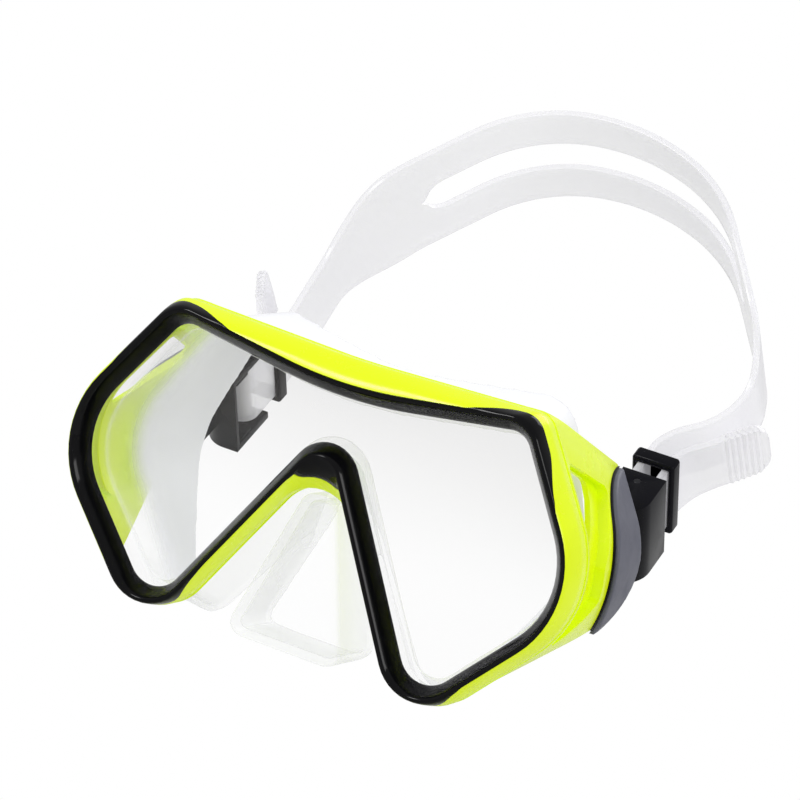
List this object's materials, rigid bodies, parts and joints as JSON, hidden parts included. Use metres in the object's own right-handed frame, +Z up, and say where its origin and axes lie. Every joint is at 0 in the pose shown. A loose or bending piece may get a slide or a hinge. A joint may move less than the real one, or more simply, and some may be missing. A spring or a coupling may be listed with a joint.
{
  "type": "snorkel mask",
  "caption": "Wide-window diving mask: glossy bezel, side arms, soft skirt with nose pocket, and a split head strap on swivelling release buckles.",
  "frame": {"origin": "centre of the face opening of the skirt, on the plane of symmetry", "axes": "the wearer looks along -Y, +X is the wearer's left and +Z is up; the lens stands parallel to XZ"},
  "size_m": [0.1623, 0.1684, 0.1556],
  "materials": {
    "lens_glass": "clear tempered glass",
    "gloss_black": "glossy",
    "chartreuse": "glossy",
    "clear_silicone": "translucent silicone, soft sheen",
    "slate_rubber": "satin",
    "black_rubber": "satin",
    "satin_black": "satin",
    "pin_steel": "turned",
    "white_acetal": "satin"
  },
  "bodies": {
    "mask": {"lens": "lens_glass", "bezel": "gloss_black", "outer_frame": "chartreuse", "skirt": "clear_silicone", "side_cap_left": "slate_rubber", "side_cap_right": "slate_rubber", "cap_seal_left": "black_rubber", "cap_seal_right": "black_rubber", "swivel_pin_left": "satin_black", "swivel_pin_right": "satin_black"},
    "buckle_left": {"buckle_housing_left": "satin_black", "roller_axle_left": "pin_steel", "strap": "clear_silicone"},
    "roller_left": {"strap_roller_left": "white_acetal"},
    "release_left_upper": {"release_upper_left": "satin_black"},
    "release_left_lower": {"release_lower_left": "satin_black"},
    "pawl_left": {"locking_pawl_left": "satin_black"},
    "keeper_left": {"strap_keeper_left": "satin_black"},
    "buckle_right": {"buckle_housing_right": "satin_black", "roller_axle_right": "pin_steel"},
    "roller_right": {"strap_roller_right": "white_acetal"},
    "release_right_upper": {"release_upper_right": "satin_black"},
    "release_right_lower": {"release_lower_right": "satin_black"},
    "pawl_right": {"locking_pawl_right": "satin_black"},
    "keeper_right": {"strap_keeper_right": "satin_black"}
  },
  "joints": [
    {"name": "buckle_left_swing", "type": "hinge", "parent": "mask", "child": "buckle_left", "pos_m": [0.0646, -0.007, -0.009], "axis": [1, 0, 0], "range_deg": [-40, 6]},
    {"name": "roller_left_spin", "type": "hinge", "parent": "buckle_left", "child": "roller_left", "pos_m": [0.0625, 0.02478, 0.01325], "axis": [0, -0.5736, 0.8192], "continuous": true},
    {"name": "release_left_upper_press", "type": "slide", "parent": "buckle_left", "child": "release_left_upper", "axis": [0, 0.5736, -0.8192], "range_m": [0, 0.0015], "stiffness_N_per_m": 2500, "springref_m": -0.0002},
    {"name": "release_left_lower_press", "type": "slide", "parent": "buckle_left", "child": "release_left_lower", "axis": [0, -0.5736, 0.8192], "range_m": [0, 0.0015], "stiffness_N_per_m": 2500, "springref_m": -0.0002},
    {"name": "pawl_left_tilt", "type": "hinge", "parent": "buckle_left", "child": "pawl_left", "pos_m": [0.0656, 0.01741, 0.00809], "axis": [0, 0.5736, -0.8192], "range_deg": [-0.5, 12.5]},
    {"name": "keeper_left_slide", "type": "slide", "parent": "buckle_left", "child": "keeper_left", "axis": [0, -0.8192, -0.5736], "range_m": [0, 0.0055]},
    {"name": "buckle_right_swing", "type": "hinge", "parent": "mask", "child": "buckle_right", "pos_m": [-0.0646, -0.007, -0.009], "axis": [1, 0, 0], "range_deg": [-40, 6]},
    {"name": "roller_right_spin", "type": "hinge", "parent": "buckle_right", "child": "roller_right", "pos_m": [-0.0625, 0.02478, 0.01325], "axis": [0, -0.5736, 0.8192], "continuous": true},
    {"name": "release_right_upper_press", "type": "slide", "parent": "buckle_right", "child": "release_right_upper", "axis": [0, 0.5736, -0.8192], "range_m": [0, 0.0015], "stiffness_N_per_m": 2500, "springref_m": -0.0002},
    {"name": "release_right_lower_press", "type": "slide", "parent": "buckle_right", "child": "release_right_lower", "axis": [0, -0.5736, 0.8192], "range_m": [0, 0.0015], "stiffness_N_per_m": 2500, "springref_m": -0.0002},
    {"name": "pawl_right_tilt", "type": "hinge", "parent": "buckle_right", "child": "pawl_right", "pos_m": [-0.0656, 0.01741, 0.00809], "axis": [0, -0.5736, 0.8192], "range_deg": [-0.5, 12.5]},
    {"name": "keeper_right_slide", "type": "slide", "parent": "buckle_right", "child": "keeper_right", "axis": [0, -0.8192, -0.5736], "range_m": [0, 0.0055]}
  ],
  "couplings": [
    {"joint": "buckle_right_swing", "follows": "buckle_left_swing", "ratio": 1},
    {"joint": "pawl_left_tilt", "follows": "release_left_upper_press", "rad_per_m": 139},
    {"joint": "pawl_right_tilt", "follows": "release_right_upper_press", "rad_per_m": 139}
  ]
}
